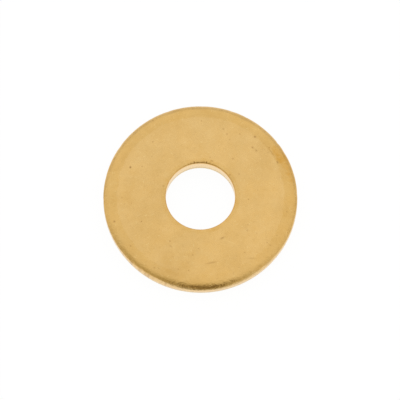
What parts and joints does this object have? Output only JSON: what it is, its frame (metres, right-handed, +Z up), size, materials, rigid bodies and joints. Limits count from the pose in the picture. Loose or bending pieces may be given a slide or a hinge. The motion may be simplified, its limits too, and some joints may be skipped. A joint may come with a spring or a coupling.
{
  "type": "fender washer",
  "caption": "Wide flat brass washer with a small central hole, rolled upper edges and torn lower edges, for spreading the load of a screw.",
  "frame": {"origin": "centre of the hole, level with the underside on which the washer lies", "axes": "+Z up along the axis of the hole, towards the face with the rolled edges; X and Y are alike"},
  "size_m": [0.018, 0.018, 0.0016],
  "materials": {
    "brass": "tumbled satin"
  },
  "bodies": {
    "root": {"washer": "brass"}
  },
  "joints": []
}
